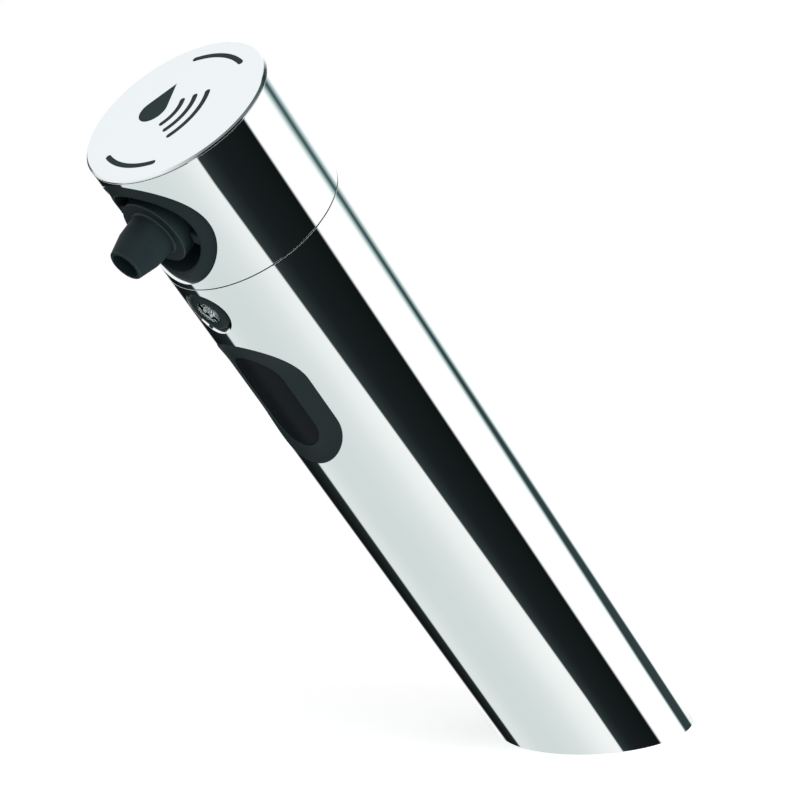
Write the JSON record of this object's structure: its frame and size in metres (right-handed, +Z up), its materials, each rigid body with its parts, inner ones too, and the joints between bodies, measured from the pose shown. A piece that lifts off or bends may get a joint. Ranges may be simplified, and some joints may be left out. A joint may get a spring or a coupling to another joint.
{
  "type": "automatic soap dispenser",
  "caption": "Leaning chrome tube that gives liquid soap at a washbasin: black nozzle, indicator light and hand-sensor window on its front, motor and gear pump inside.",
  "frame": {"origin": "on the deck, where the tube's axis meets it, in the middle of the foot's oval", "axes": "+Z up from the deck, -Y to the front, the way the tube leans and the nozzle points, +X to the right of someone who faces the front"},
  "size_m": [0.05, 0.2086, 0.203],
  "materials": {
    "chrome": "polished chrome plate on brass tube",
    "black_plastic": "fine moulded black",
    "sensor_glass": "dark infrared-clear window",
    "clear_lens": "clear moulded lens",
    "rubber": "matt black rubber",
    "white_plastic": "natural acetal",
    "grey_plastic": "moulded grey",
    "pump_plastic": "glass-filled moulding",
    "gear_plastic": "machined engineering plastic",
    "steel": "bright steel",
    "plated_steel": "zinc-plated pressing",
    "magnet": "sintered, matt",
    "armature": "varnished laminations and wire",
    "copper": "copper segments",
    "bronze": "oiled sintered bronze",
    "cast_brass": "machined brass",
    "board": "green solder mask",
    "chip": "moulded case",
    "terminal": "moulded green",
    "ribbon": "polyimide film",
    "lamp": "clear moulded lamp",
    "lead": "soft jacket",
    "silicone": "milky silicone",
    "gasket_sheet": "fibre sheet"
  },
  "bodies": {
    "housing": {"top_cap": "chrome", "head_shell": "chrome", "body_tube": "chrome", "seam_gasket": "rubber", "head_collar": "black_plastic", "nozzle_bezel": "black_plastic", "spout_block": "white_plastic", "spring_retainer": "white_plastic", "valve_spring": "steel", "spout_cradle": "grey_plastic", "cradle_screws": "steel", "indicator_ring": "black_plastic", "indicator_lens": "clear_lens", "indicator_led": "lamp", "sensor_bezel": "black_plastic", "sensor_window": "sensor_glass", "ir_baffle": "black_plastic", "ir_emitter": "lamp", "ir_receiver": "sensor_glass", "sensor_board": "board", "sensor_ribbon": "ribbon", "control_board": "board", "board_chips": "chip", "board_capacitor": "chip", "power_connector": "white_plastic", "motor_terminal": "terminal", "motor_leads": "lead", "power_lead": "lead", "upper_frame": "grey_plastic", "lower_frame": "grey_plastic", "tie_screws": "steel", "foot_screws": "steel", "pump_body": "pump_plastic", "pump_gasket": "gasket_sheet", "pump_cover": "pump_plastic", "shaft_seal": "rubber", "idler_pin": "steel", "motor_can": "plated_steel", "motor_end_cap": "black_plastic", "motor_magnets": "magnet", "motor_brushes": "magnet", "motor_bushes": "bronze", "motor_screws": "steel", "delivery_tube": "silicone", "inlet_tube": "silicone", "base_plug": "cast_brass", "inlet_fitting": "white_plastic", "cable_gland": "rubber", "deck_gasket": "rubber"},
    "rotor": {"motor_shaft": "steel", "motor_armature": "armature", "motor_commutator": "copper", "drive_gear": "gear_plastic"},
    "idler": {"idler_gear": "gear_plastic"},
    "valve": {"valve_poppet": "white_plastic", "valve_seal": "rubber"},
    "nozzle": {"nozzle": "black_plastic", "nozzle_seal": "rubber"}
  },
  "joints": [
    {"name": "motor_spin", "type": "hinge", "parent": "housing", "child": "rotor", "pos_m": [-0.0055, -0.0441, 0.05255], "axis": [0, -0.6428, 0.766], "continuous": true},
    {"name": "idler_spin", "type": "hinge", "parent": "housing", "child": "idler", "pos_m": [0.0055, -0.0441, 0.05255], "axis": [0, -0.6428, 0.766], "continuous": true},
    {"name": "valve_slide", "type": "slide", "parent": "housing", "child": "valve", "axis": [0, -0.766, -0.6428], "range_m": [0, 0.0015], "stiffness_N_per_m": 150, "springref_m": -0.002, "deforming": ["valve_spring"]},
    {"name": "nozzle_twist", "type": "hinge", "parent": "housing", "child": "nozzle", "pos_m": [0, -0.16078, 0.1605], "axis": [0, -0.766, -0.6428], "range_deg": [0, 60]}
  ],
  "couplings": [
    {"joint": "idler_spin", "follows": "motor_spin", "ratio": -1}
  ]
}
